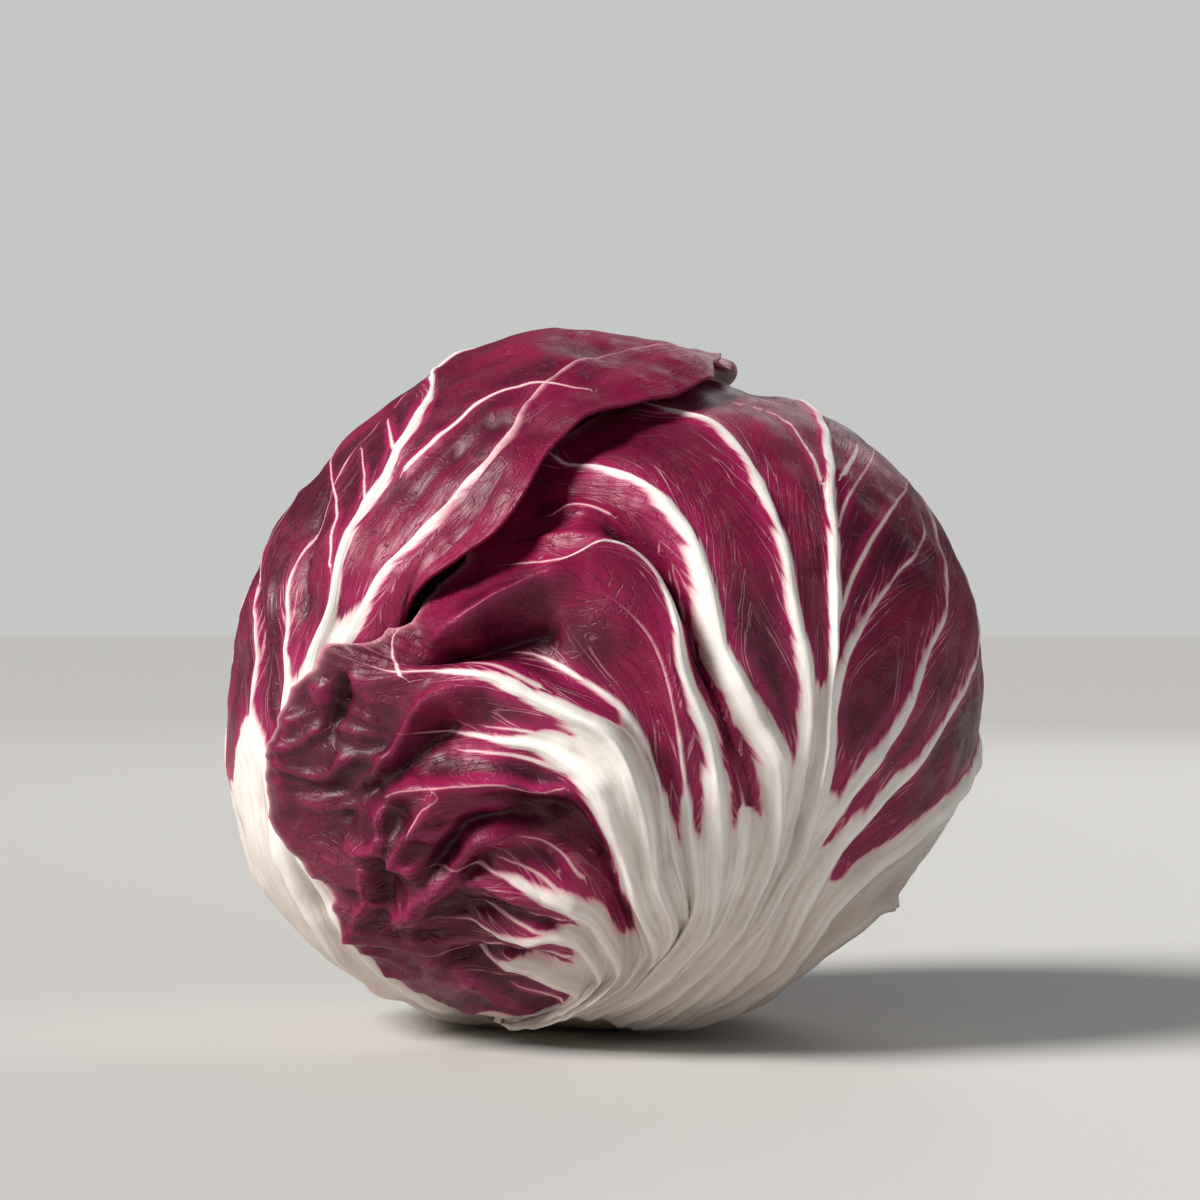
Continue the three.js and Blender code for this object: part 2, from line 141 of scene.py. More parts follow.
# The ribs of the near leaf, from its lower left round to its right margin: at which turn and height
# each starts, and the places it passes with their heights, by the photograph where that shows them.
near_ribs = [rib(grown(turn, LEAF_RING, lift), *places) for turn, lift, places in (
    (-72, 0, [(515, 1017, -0.3), (470, 1006, 0.3), (430, 985, 1.4), (386, 960, 2)]),
    (-62, 0.5, [(576, 980, 0.5), (543, 968, 0.5), (505, 958), (460, 950), (415, 945, 1), (350, 926, 2)]),
    (-52, 1, [(598, 960, 1.2), (584, 930, 1.5), (560, 919, 1.5), (523, 926, 1), (465, 920, -0.5),
     (395, 908, 0.8), (328, 892, 2)]),
    (-41, 1.5, [(617, 950, 1.5), (600, 905, 2), (575, 886, 2.5), (543, 876, 2), (505, 864, 1),
     (460, 862, -1), (385, 858, 0.5), (300, 858, 2.2)]),
    (-30, 1, [(636, 955), (620, 885, -3.6), (590, 822, -4.2), (540, 800, -2.6), (465, 800, 0.5),
     (400, 800, 0.5), (330, 793), (262, 777, 2.6)]),
    (-19, 1, [(650, 950, 1), (632, 880, 2.2), (611, 808, 4), (592, 765, 4.2), (547, 742, 2.2),
     (500, 733, 1), (450, 726, -1.2), (375, 724, 0.5), (288, 702, 2.6)]),
    (-9, 0.5, [(668, 930, 0.8), (651, 850, 2.8), (638, 778, 4.8), (613, 723, 5.2), (568, 701, 4),
     (530, 684, 3.2), (490, 666, 3), (440, 661, 2), (390, 662, 0.8), (326, 640, 2.4)]),
    (1, 0, [(682, 930, -0.4), (671, 840, -1.4), (658, 766, -1.6), (630, 706, -1), (574, 664, -1.2),
     (525, 640, -3.2), (475, 640, -3), (425, 650, -1), (376, 616, 1.6)]),
    (8, 0, [(688, 905, 0.2), (689, 820, 0.3), (676, 710, 1.2), (650, 632, 1.5), (606, 590, 2),
     (553, 570, 1.5), (510, 587, 2), (475, 605, 2), (440, 612, 0.2), (412, 600, -2), (398, 588, -3.6)]),
    (15, 0.5, [(703, 925, 0.5), (716, 840, 0.5), (713, 740, 1), (690, 665, 1), (668, 592, 1.5),
     (645, 553, 2), (610, 538, 1.5), (563, 548), (520, 546, -3), (470, 545, -5), (430, 545, -5.6)]),
    (26, 0, [(725, 905, -1), (747, 810, -1), (733, 730, -2), (710, 640, -2.5), (672, 575, -2.5),
     (635, 525, -2.8), (590, 500, -3), (545, 492, -5), (490, 488, -5.5), (455, 480, -5.5)]),
    (38, 0.5, [(735, 925, 0.5), (772, 835, 1), (778, 762, 1), (753, 695, 1), (727, 640, 1),
     (704, 570, 1), (680, 521, 0.8), (644, 480, 0.3), (598, 454, -1.5), (560, 435, -4.5),
     (525, 405, -5)]),
    (49, 0, [(738, 925), (784, 830), (806, 750, 0.5), (812, 690, 1), (800, 612, 1), (768, 502, 0.8),
     (718, 426), (668, 395, -2.5), (625, 370, -4.5)]),
    (57, 0.5, [(742, 938, 0.5), (793, 838, 1), (822, 755, 1.2), (833, 660, 1.2), (832, 560, 1.2),
     (827, 480, 1), (803, 409, 0.5), grown(52, 150, -2), grown(60, 163, -4)]),
    (63, 0, [(748, 942), (800, 848, 0.3), (831, 760, 0.4), (846, 672, 0.4), (869, 615, 0.5),
     (893, 575, 0.5), (921, 526, 0.4), grown(64, 130), grown(70, 147, -1.5), grown(76, 161, -3.8)]),
    (68, 0.2, [(756, 945, 0.2), (798, 855, 0.3), (853, 782, 0.5), (897, 722, 0.6), (926, 655, 0.6),
     (944, 598, 0.6), grown(66, 115, 0.5), grown(76, 133, 0.3), grown(84, 148, -1), grown(93, 158, -3)]),
    (73, 0, [(768, 958), (812, 876, 0.3), (858, 815, 0.4), (911, 764, 0.5), (952, 700, 0.7),
     (972, 640, 0.7), grown(87, 121, 0.5), grown(97, 140, 0.2), grown(107, 153, -1)]),
    (78, 0, [(775, 970), (841, 882, 0.2), (897, 838, 0.5), (948, 792, 0.7), grown(95, 92, 0.9),
     grown(101, 112, 0.9), grown(108, 130, 0.8), grown(117, 144, 0.8)]),
    (82, -1.6, [(765, 996, -1.8), (822, 950, -1.4), (872, 908, -0.6), grown(106, 66, 0.4),
     grown(113, 86, 1), grown(119, 106, 1), grown(126, 126, 1)]),
)]

# Half the width of each rib's white, in millimetres, at each of its points. Below 0 it has none, and
# past the last value it stays the same.
near_whites = [
    (1, -0.3, -0.6),
    (3, 2.2, 1.4, 0.6, 0.1, -0.2, -0.3),
    (3, 2.8, 2.6, 2, 1, 0.1, -0.3),
    (3, 3, 2.8, 2.4, 1.4, 0.5, 0, -0.3),
    (3, 1, -0.6, -1, -1, -0.8, -0.6, -0.3),
    (3, 3, 2, 2.1, 2.3, 1.6, 0.9, 0.3, -0.3),
    (3, 3, 3, 3, 3, 2.4, 1.7, 1.1, 0.6, 0.1, -0.3),
    (3, 3, 2.6, 0.5, 0.7, 0.6, 0.2, -0.3),
    (3, 2.6, 1, 0.16, 0.1, -0.2, -0.3),
    (3, 3, 2.6, 1.9, 1.5, 1.2, 0.8, 0.6, 0.4, 0.1, -0.3),
    (3, 2.4, 0.4, -0.5, -0.8, -0.8, -0.8, -0.8, -0.5),
    (3, 3, 2.8, 2.7, 2.3, 1.8, 1.5, 1.2, 0.8, 0.5, 0.3, 0),
    (3, 2.8, 2.6, 2.4, 2, 1.6, 1.2, 0.9, 0.6, 0.2),
    (3, 3, 2.8, 2.8, 2.4, 1.9, 1.3, 0.9, 0.5, 0.2),
    (3, 2.6, 2.2, 1.6, 1, 0.6, 0.35, 0.2, 0.15, 0.1, 0),
    (3, 2.6, 2.4, 1.7, 1.2, 0.7, 0.45, 0.3, 0.2, 0.1, 0),
    (3, 2.6, 2.3, 1.8, 1.2, 0.7, 0.5, 0.4, 0.2, 0),
    (3, 3, 3, 2.8, 2.4, 1.4, 0.8, 0.4, 0.1),
    (3, 3, 3, 2.8, 2.4, 1.4, 0.7, 0.3),
]

# Smaller veins of the near leaf: half widths at their start and end, and the places they pass.
near_veins = [
    (0.25, 0.5, [(855, 446), (838, 474)]),
    (0.05, 0.3, [(888, 433), (864, 466), (846, 492), (836, 520)]),
    (0.1, 0.5, [(914, 474), (886, 510), (860, 552), (842, 602)]),
    (0.12, 0.4, [(740, 398), (773, 415), (804, 449), (818, 477)]),
    (0.1, 0.15, [(547, 486), (572, 486), (591, 493), (610, 502)]),
    (0.3, 0.02, [(406, 666), (396, 656), (391, 640), (393, 626), (403, 611)]),
    (0.05, 0.25, [(521, 830), (561, 846), (583, 866)]),
    (0.05, 0.35, [(500, 850), (540, 862), (575, 880)]),
    (0.05, 0.35, [(483, 890), (526, 902), (561, 902)]),
    (0.05, 0.4, [(470, 905), (520, 912), (563, 917)]),
    (0.05, 0.4, [(472, 936), (520, 938), (568, 940)]),
    (0.05, 0.4, [(505, 950), (540, 957), (565, 968)]),
    (0.05, 0.4, [(520, 976), (545, 981), (566, 990)]),
    (0.05, 0.5, [(448, 744), (505, 747), (562, 758)]),
    (0.05, 0.5, [(478, 718), (525, 722), (565, 735)]),
    (0.05, 0.4, [(452, 650), (495, 655), (540, 676)]),
    (0.0, 0.1, [(381, 790), (403, 780), (443, 776), (499, 774), (532, 782), (560, 777)]),
    (0.0, 0.1, [(438, 779), (441, 787), (424, 800), (413, 820)]),
]

# Folds of the near leaf: height in millimetres (sunk if below 0), how wide it is to the left and to
# the right of its line, and the places that the line passes.
near_folds = [
    (2.6, 3, 2, [(419, 640), (438, 627), (477, 604), (515, 585), (553, 567), (582, 567)]),
    (-2.9, 2, 3, [(425, 652), (470, 640), (520, 626), (565, 622)]),
    (3.4, 5.5, 1.2, [(350, 781), (385, 743), (412, 706), (445, 681), (484, 677)]),
    (-3.1, 1.5, 4, [(346, 794), (382, 774), (414, 742), (456, 712)]),
    (1.3, 1.4, 3, [(345, 678), (393, 669), (429, 663)]),
    (-3.1, 1, 1.6, [(350, 664), (336, 700), (322, 728)]),
    (1.7, 1.2, 3.5, [(305, 700), (290, 745), (284, 785)]),
    (4.2, 2.6, 1.2, [(378, 796), (400, 780), (443, 776), (499, 774), (532, 780), (580, 779)]),
    (-2.3, 1.4, 3, [(420, 818), (470, 806), (520, 800), (575, 806)]),
    (3.1, 1.2, 2.6, [(334, 834), (357, 844), (380, 838), (378, 818), (381, 796)]),
    (-2.1, 3, 3, [(368, 862), (380, 872), (380, 900)]),
    (2.9, 1.6, 1.4, [(398, 870), (395, 855), (405, 832), (431, 802), (440, 781)]),
    (3.4, 1.5, 3, [(394, 870), (413, 864), (431, 838), (445, 819), (459, 806), (520, 800)]),
    (-3.1, 1.4, 1.4, [(424, 868), (442, 842), (458, 820), (500, 812), (540, 818)]),
    (3.6, 1.6, 3, [(389, 920), (404, 905), (431, 887), (449, 874), (463, 851), (480, 833), (532, 830)]),
    (-2.9, 1.4, 1.6, [(420, 906), (448, 890), (470, 862), (490, 850)]),
    (3.1, 1.4, 2.4, [(407, 925), (426, 902), (449, 884), (476, 875), (510, 880), (540, 888)]),
    (-2.6, 1.1, 1.8, [(440, 915), (490, 905), (540, 906), (568, 912)]),
    (2.1, 1.6, 1.6, [(353, 932), (366, 893), (360, 850)]),
    (-2.6, 1.1, 1.6, [(440, 960), (495, 946), (535, 947), (560, 952)]),
    (2.3, 2, 1.6, [(420, 950), (460, 962), (505, 985), (530, 1000)]),
    (1.2, 1, 1.2, [(547, 486), (572, 486), (591, 493), (610, 502), (640, 530)]),
    (-3.4, 1.8, 1.4, [(601, 506), (639, 539), (668, 573), (700, 611), (712, 641), (725, 683)]),
    (1.6, 2, 1.4, [(525, 520), (570, 520), (610, 535)]),
    (1.7, 0.8, 3, [(575, 690), (608, 706), (632, 726), (643, 755), (650, 810), (655, 870)]),
    (-1.2, 3, 1.2, [(648, 722), (657, 760), (664, 810), (672, 870)]),
    (1.6, 2.6, 0.8, [(560, 766), (586, 774), (600, 800), (612, 850), (626, 905)]),
]

# Where each gap between two ribs turns from blade to all white, counted from the first gap.
near_tips = [
    (538, 1012), (552, 955), (572, 910), (626, 925), (642, 948), (548, 728), (612, 722), (688, 820),
    (703, 828), (735, 818), (748, 816), (787, 766), (816, 704), (832, 744), (828, 806), (836, 834),
    (832, 868), grown(98, 76),
]


NO_VEIN = 9.0  # a distance in millimetres that stands for no vein nearby


def leaf_sheet(ribs, whites, columns, rows, tooth, seed):
    """A grid over a leaf, columns across its ribs and rows along them, its outer end cut in teeth.

    Across and along, the places are cubic curves through the ribs. Columns is a count for each gap
    between two ribs, and tooth the share of a rib's length that the teeth take. Each place gets its
    direction from the head's centre, its lift, and how far it is from the nearest rib and inside
    that rib's white, in millimetres.
    """
    gaps = np.concatenate(([0], np.cumsum(columns)))
    across = np.interp(np.arange(gaps[-1] + 1), gaps, np.arange(len(ribs)))
    fine = np.linspace(0, 1, 4 * rows + 1)
    lines = np.stack([curve_through(knots, points, fine) for knots, points in ribs])
    grid = curve_through(np.arange(len(ribs)), lines, across)
    draw = np.random.default_rng(seed)
    swing = sum(
        np.sin(across * turns + draw.uniform(0, 2 * np.pi)) * size
        for turns, size in ((1.9, 0.5), (3.1, 0.3), (7.3, 0.2))
    )
    corner = 2 * np.abs((across * 0.9 + 0.4 * swing) % 1 - 0.5)
    end = 1 - tooth * (0.3 + 0.3 * swing + 0.5 * corner)
    along = np.linspace(0, 1, rows + 1)[None, :] * end[:, None]
    column = np.arange(len(across))[:, None]
    spot = along * (len(fine) - 1)
    low = np.minimum(spot.astype(int), len(fine) - 2)
    part = (spot - low)[..., None]
    place = grid[column, low] * (1 - part) + grid[column, low + 1] * part
    direction = place[..., :3] / np.linalg.norm(place[..., :3], axis=-1, keepdims=True)

    spacing = MEAN_RADIUS * np.linalg.norm(np.diff(lines[..., :3], axis=0), axis=-1)
    white = np.stack([
        np.interp(fine, knots, half + half[-1:] * (len(knots) - len(half)))
        for (knots, points), half in zip(ribs, whites)
    ])
    left = np.minimum(across.astype(int), len(ribs) - 2)[:, None]
    room = spacing[left, low]
    white_left, white_right = white[left, low], white[left + 1, low]
    past = (across[:, None] - left) * room
    short = (left + 1 - across[:, None]) * room
    half = np.where(white_left - past > white_right - short, white_left, white_right)
    inside = np.maximum(white_left - past, white_right - short)
    return {
        "direction": direction, "lift": place[..., 3], "along": along, "end": end,
        "from_rib": np.minimum(past, short), "inside": inside, "half": half,
        "gap": np.broadcast_to(left, inside.shape), "room": room,
        "across": np.broadcast_to(across[:, None], inside.shape), "crumple": np.zeros(inside.shape),
        "vein": np.full(inside.shape, NO_VEIN), "vein_half": np.full(inside.shape, -NO_VEIN),
    }


def near_line(direction, points):
    """How far each place is from a line through points, its share of the line, and on which side.

    The line is a smooth curve, marked every half millimetre. Distances are over the ball in
    millimetres, and the side is 1 to the left of the line's run and -1 to its right.
    """
    knots, points = rib(*points)
    length = MEAN_RADIUS * np.linalg.norm(np.diff(points[:, :3], axis=0), axis=1).sum()
    marks = curve_through(knots, points, np.linspace(0, 1, int(length * 2) + 2))[:, :3]
    marks /= np.linalg.norm(marks, axis=1, keepdims=True)
    run = np.gradient(marks, axis=0)
    run /= np.linalg.norm(run, axis=1, keepdims=True)
    centre = marks.mean(axis=0)
    centre /= np.linalg.norm(centre)
    places = direction.reshape(-1, 3)
    close = np.flatnonzero(places @ centre > (marks @ centre).min() - 0.25)
    nearest = np.argmax(places[close] @ marks.T, axis=1)
    offset = (places[close] - marks[nearest]) * MEAN_RADIUS
    forward = (offset * run[nearest]).sum(axis=1)
    sideways = np.cross(run[nearest], places[close] - marks[nearest])
    inner = (nearest > 0) & (nearest < len(marks) - 1)
    apart = np.full(len(places), 1e3)
    apart[close] = np.sqrt(np.maximum((offset ** 2).sum(axis=1) - np.where(inner, forward ** 2, 0), 0))
    share = np.zeros(len(places))
    share[close] = nearest / (len(marks) - 1)
    side = np.ones(len(places))
    side[close] = -np.sign((sideways * places[close]).sum(axis=1))
    return (values.reshape(direction.shape[:-1]) for values in (apart, share, side))


def swell(direction, size, seed, waves=40):
    """Smooth lumps about a given size in millimetres: a sum of plane waves in random directions."""
    draw = np.random.default_rng(seed)
    heading = draw.normal(size=(waves, 3))
    heading /= np.linalg.norm(heading, axis=1, keepdims=True)
    rate = 2 * np.pi * MEAN_RADIUS / size * draw.uniform(0.7, 1.4, waves)
    phase = draw.uniform(0, 2 * np.pi, waves)
    total = sum(np.sin(direction @ (h * r) + p) for h, r, p in zip(heading, rate, phase))
    return total / np.sqrt(waves / 2)


def run_along(direction):
    """How far each place of a sheet is from its base, in millimetres along its own column."""
    steps = MEAN_RADIUS * np.linalg.norm(np.diff(direction, axis=1), axis=-1)
    return np.concatenate((np.zeros((len(steps), 1)), np.cumsum(steps, axis=1)), axis=1)


def whiten_base(sheet, tips):
    """Counts the foot of a gap as white, up to a wedge of blade that comes down to the gap's tip.

    The border is drawn out into small lobes everywhere, and into large ones where the gap is wide.
    """
    direction, gap, room = sheet["direction"], sheet["gap"], sheet["room"]
    run = run_along(direction)
    middle = 1 - 2 * sheet["from_rib"] / room
    wedge = np.where(sheet["half"] > 0.3, np.minimum(room, 6) * 0.9 * middle, 0)
    lobes = 0.9 * swell(direction, 7, seed=60, waves=12)
    lobes += np.clip(room / 12 - 0.5, 0, 1) * 3 * swell(direction, 24, seed=61, waves=12)
    for number, tip in enumerate(tips):
        tip = np.array(placed(tip)[:3])
        near = np.where(gap == number, direction @ (tip / np.linalg.norm(tip)), -2)
        height = run.ravel()[near.argmax()]
        fill = np.where(gap == number, np.clip((height - run + wedge + lobes) * 0.4, -9, 3), -9)
        sheet["inside"] = np.maximum(sheet["inside"], fill)


def add_folds(sheet, folds):
    """Raises or sinks a sheet along each fold, most on its line and next to nothing past its width."""
    for height, left_width, right_width, points in folds:
        apart, share, side = near_line(sheet["direction"], points)
        width = np.where(side > 0, left_width, right_width)
        fade = np.clip(np.minimum(share, 1 - share) / 0.18 + 0.15, 0, 1)
        sheet["lift"] += height * fade * np.exp(-((apart / width) ** 1.2))


VEIN_REACH = 1.8  # millimetres past a vein's edge to which its distance is marked


def add_veins(sheet, veins):
    """Marks how far each place is to one side of its nearest vein, and raises the sheet along veins."""
    for number, (start, end, points) in enumerate(veins):
        apart, share, side = near_line(sheet["direction"], points)
        side = side * (-1) ** number  # so that two neighbours face each other with the same sign
        half = start + (end - start) * share
        closer = apart < half + VEIN_REACH
        closer &= half - apart > sheet["vein_half"] - np.abs(sheet["vein"])
        sheet["vein"] = np.where(closer, side * apart, sheet["vein"])
        sheet["vein_half"] = np.where(closer, half, sheet["vein_half"])
        sheet["lift"] += (0.12 + 0.45 * half) * np.exp(-((apart / (half + 0.7)) ** 2))


def strip_quads(index, beside):
    """Quads between columns of vertices and the columns beside them."""
    corners = (index[:, :-1], beside[:, :-1], beside[:, 1:], index[:, 1:])
    return np.stack(corners, axis=-1).reshape(-1, 4)


BASE_THICKNESS = 2.4
BLADE_THICKNESS = 0.9
RIM_THICKNESS = 0.6


def closed_sheet(sheet, floor):
    """The outer face, the inner face one thickness deeper, and the rim: vertices and quads.

    No place is lower than the floor. Base goes over to blade in the first 35% of a rib.
    """
    direction, along = sheet["direction"], sheet["along"]
    reach = ball_radius(direction) + sheet["lift"]
    down = np.maximum(-direction[..., 2], 1e-6)
    reach = np.where(direction[..., 2] < 0, np.minimum(reach, (HEAD_CENTRE[2] - floor) / down), reach)
    share = along / sheet["end"][:, None]
    blade = BASE_THICKNESS + (BLADE_THICKNESS - BASE_THICKNESS) * np.minimum(share / 0.35, 1)
    thick = blade + (RIM_THICKNESS - blade) * share ** 8
    outer = HEAD_CENTRE + direction * reach[..., None]
    inner = HEAD_CENTRE + direction * (reach - thick)[..., None]
    count = along.size
    index = np.arange(count).reshape(along.shape)
    face = strip_quads(index[:-1], index[1:])
    edge = np.concatenate((index[:, 0], index[-1, 1:], index[-2::-1, -1], index[0, -2:0:-1]))
    on = np.roll(edge, -1)
    rim = np.stack((on, edge, edge + count, on + count), axis=-1)
    quads = np.concatenate((face, face[:, ::-1] + count, rim))
    return np.concatenate((outer.reshape(-1, 3), inner.reshape(-1, 3))), quads


def add_object(name, data):
    """An object of a mesh, light or camera, put in the scene."""
    made = bpy.data.objects.new(name, data)
    bpy.context.scene.collection.objects.link(made)
    return made


def make_mesh(name, places, quads, fields, chart=None):
    """A mesh of places in millimetres, quads turned to face out, fields and a UV chart."""
    a, b, c, d = (places[quads[:, k]] - HEAD_CENTRE for k in range(4))
    volume = (a * np.cross(b, c)).sum() + (a * np.cross(c, d)).sum()
    if volume < 0:
        quads = quads[:, ::-1]
    mesh = bpy.data.meshes.new(name)
    mesh.vertices.add(len(places))
    mesh.vertices.foreach_set("co", (places * 0.001).astype(np.float32).ravel())
    mesh.loops.add(quads.size)
    mesh.loops.foreach_set("vertex_index", quads.astype(np.int32).ravel())
    mesh.polygons.add(len(quads))
    mesh.polygons.foreach_set("loop_start", np.arange(0, quads.size, 4, dtype=np.int32))
    mesh.update(calc_edges=True)
    mesh.polygons.foreach_set("use_smooth", np.ones(len(quads), dtype=bool))
    for field, values in fields.items():
        mesh.attributes.new(field, "FLOAT", "POINT").data.foreach_set("value", values.astype(np.float32))
    if chart is not None:
        layer = mesh.uv_layers.new(name="UVMap")
        layer.data.foreach_set("uv", chart[quads.ravel()].astype(np.float32).ravel())
    return add_object(name, mesh)


def blurred(values, reach):
    """The mean of a grid over a square of cells, so many to each side."""
    for axis in (0, 1):
        pad = [(reach + 1, reach) if k == axis else (0, 0) for k in (0, 1)]
        total = np.cumsum(np.pad(values, pad, mode="edge"), axis=axis)
        high = np.take(total, np.arange(2 * reach + 1, total.shape[axis]), axis=axis)
        low = np.take(total, np.arange(total.shape[axis] - 2 * reach - 1), axis=axis)
        values = (high - low) / (2 * reach + 1)
    return values


def leaf_piece(name, sheet, floor=0.0):
    """A leaf's mesh, with the fields that its finish reads.

    White is how far a place lies inside its rib's white, and frill how wide that rib is. Vein is the
    distance to one side of the nearest small vein, and vein_half half its width. Hollow is how far a
    place lies below its surroundings. Crumple is 1 where the leaf is crumpled, and rim on its edge.
    The chart is the distance from the rib and the way along it, in centimetres.
    """
    places, quads = closed_sheet(sheet, floor)
    chart = np.stack((sheet["from_rib"], run_along(sheet["direction"])), axis=-1).reshape(-1, 2) / 10
    fields = {
        "white": np.clip(sheet["inside"], -6, 3),
        "rim": (sheet["along"] / sheet["end"][:, None]) ** 200,
        "hollow": blurred(blurred(sheet["lift"], 3), 3) - sheet["lift"],
        "frill": np.clip(sheet["half"] / 1.5, 0, 1),
        "vein": np.clip(sheet["vein"], -NO_VEIN, NO_VEIN),
        "vein_half": sheet["vein_half"],
        "crumple": sheet["crumple"],
    }
    both_faces = {field: np.tile(values.ravel(), 2) for field, values in fields.items()}
    return make_mesh(name, places, quads, both_faces, np.tile(chart, (2, 1)))


def raise_ribs(sheet, height):
    """A rib stands out as a round cord, as wide as its white or as its neighbours leave room for."""
    width = np.clip(np.minimum(sheet["half"] * 0.75, sheet["room"] * 0.36), 0.25, 2.2)
    start = np.clip(sheet["along"] / 0.06, 0, 1) * np.clip(sheet["half"] * 2, 0, 1)
    cord = np.exp(-((sheet["from_rib"] / width) ** 2)) * width
    sheet["lift"] += height * start * cord


def add_swells(sheet, swells):
    """Smooth lumps over a whole sheet, each with a height and a size in millimetres, and a seed."""
    for height, size, seed in swells:
        sheet["lift"] += height * swell(sheet["direction"], size, seed)


near_columns = [12, 13, 14, 17, 19, 19, 18, 17, 16, 17, 16, 18, 17, 16, 17, 17, 17, 16]
near_leaf = leaf_sheet(near_ribs, near_whites, near_columns, rows=158, tooth=0.035, seed=3)
whiten_base(near_leaf, near_tips)
raise_ribs(near_leaf, 0.95)
add_folds(near_leaf, near_folds)
add_veins(near_leaf, near_veins)

# The crumple fades out to both sides of a line down the left part. Pleats run along the leaf there,
# swayed by a slow noise, with smaller pleats between them and creases across both.
CRUMPLE_REACH = 19
direction = near_leaf["direction"]
from_crumple, _, _ = near_line(direction, [(330, 670), (350, 800), (440, 930)])
crumple = np.exp(-((from_crumple / CRUMPLE_REACH) ** 2)) * np.clip(near_leaf["along"] / 0.2, 0, 1)
swayed = direction[..., 2] + 0.03 * swell(direction, 16, seed=14)
pleat_at = np.stack((near_leaf["across"] * 0.14, near_leaf["along"] * 0.55, 0.6 * swayed), axis=-1)
pleats = 1 - 1.5 * np.abs(swell(pleat_at, 9, seed=15))
creases = 1 - np.abs(swell(direction, 26, seed=5))
small_pleats = 1 - 1.5 * np.abs(swell(pleat_at, 4.5, seed=16))
crumpled = 0.5 * np.clip(creases, -0.8, 1) + 0.6 * np.clip(pleats, -1, 1) + 0.22 * small_pleats
near_leaf["lift"] += crumple * crumpled
add_swells(near_leaf, [(0.2 + 0.05 * crumple, 11, 8), (0.05 + 0.07 * crumple, 4, 6)])
near_leaf["crumple"] = crumple
near_piece = leaf_piece("near_leaf", near_leaf)


def add_node(tree, kind, inputs=(), **settings):
    """Adds a shader node to a tree, or to the tree of a socket, and links or sets its inputs."""
    tree = tree.id_data if isinstance(tree, bpy.types.NodeSocket) else tree
    made = tree.nodes.new("ShaderNode" + kind)
    for key, value in settings.items():
        setattr(made, key, value)
    for key, value in dict(inputs).items():
        if isinstance(value, bpy.types.NodeSocket):
            tree.links.new(value, made.inputs[key])
        else:
            made.inputs[key].default_value = value
    return made


def mixed(share, one, other):
    """One colour going over to another by share."""
    return add_node(share, "Mix", {0: share, 6: one, 7: other}, data_type="RGBA").outputs[2]


def stepped(value, low, high, least=0.0, most=1.0):
    """A value's smooth step from low to high, given as least to most."""
    inputs = {"Value": value, "From Min": low, "From Max": high, "To Min": least, "To Max": most}
    return add_node(value, "MapRange", inputs, interpolation_type="SMOOTHSTEP").outputs[0]


def worked(kind, one, *others):
    """Arithmetic on one to three values, the first of them a socket."""
    return add_node(one, "Math", dict(enumerate((one, *others))), operation=kind).outputs[0]


def times(one, other):
    """The product of two values."""
    return worked("MULTIPLY", one, other)


def times_plus(one, other, more):
    """The product of two values, and a third added to it."""
    return worked("MULTIPLY_ADD", one, other, more)


def noise(where, scale, detail=3.0):
    """Smooth noise between about 0 and 1, scale times in a unit of where."""
    inputs = {"Vector": where, "Scale": scale, "Detail": detail}
    return add_node(where, "TexNoise", inputs).outputs["Fac"]


def new_material(name):
    """An empty material and its shader nodes."""
    material = bpy.data.materials.new(name)
    material.use_nodes = True
    material.node_tree.nodes.clear()
    return material, material.node_tree


def add_surface(tree, colour, roughness, high, ior):
    """A plain surface with a bump, whose height is in millimetres."""
    bump = add_node(tree, "Bump", {"Height": high, "Strength": 1.0, "Distance": 0.001})
    inputs = {"Base Color": colour, "Roughness": roughness, "Normal": bump.outputs[0], "IOR": ior}
    surface = add_node(tree, "BsdfPrincipled", inputs)
    add_node(tree, "OutputMaterial", {"Surface": surface.outputs[0]})


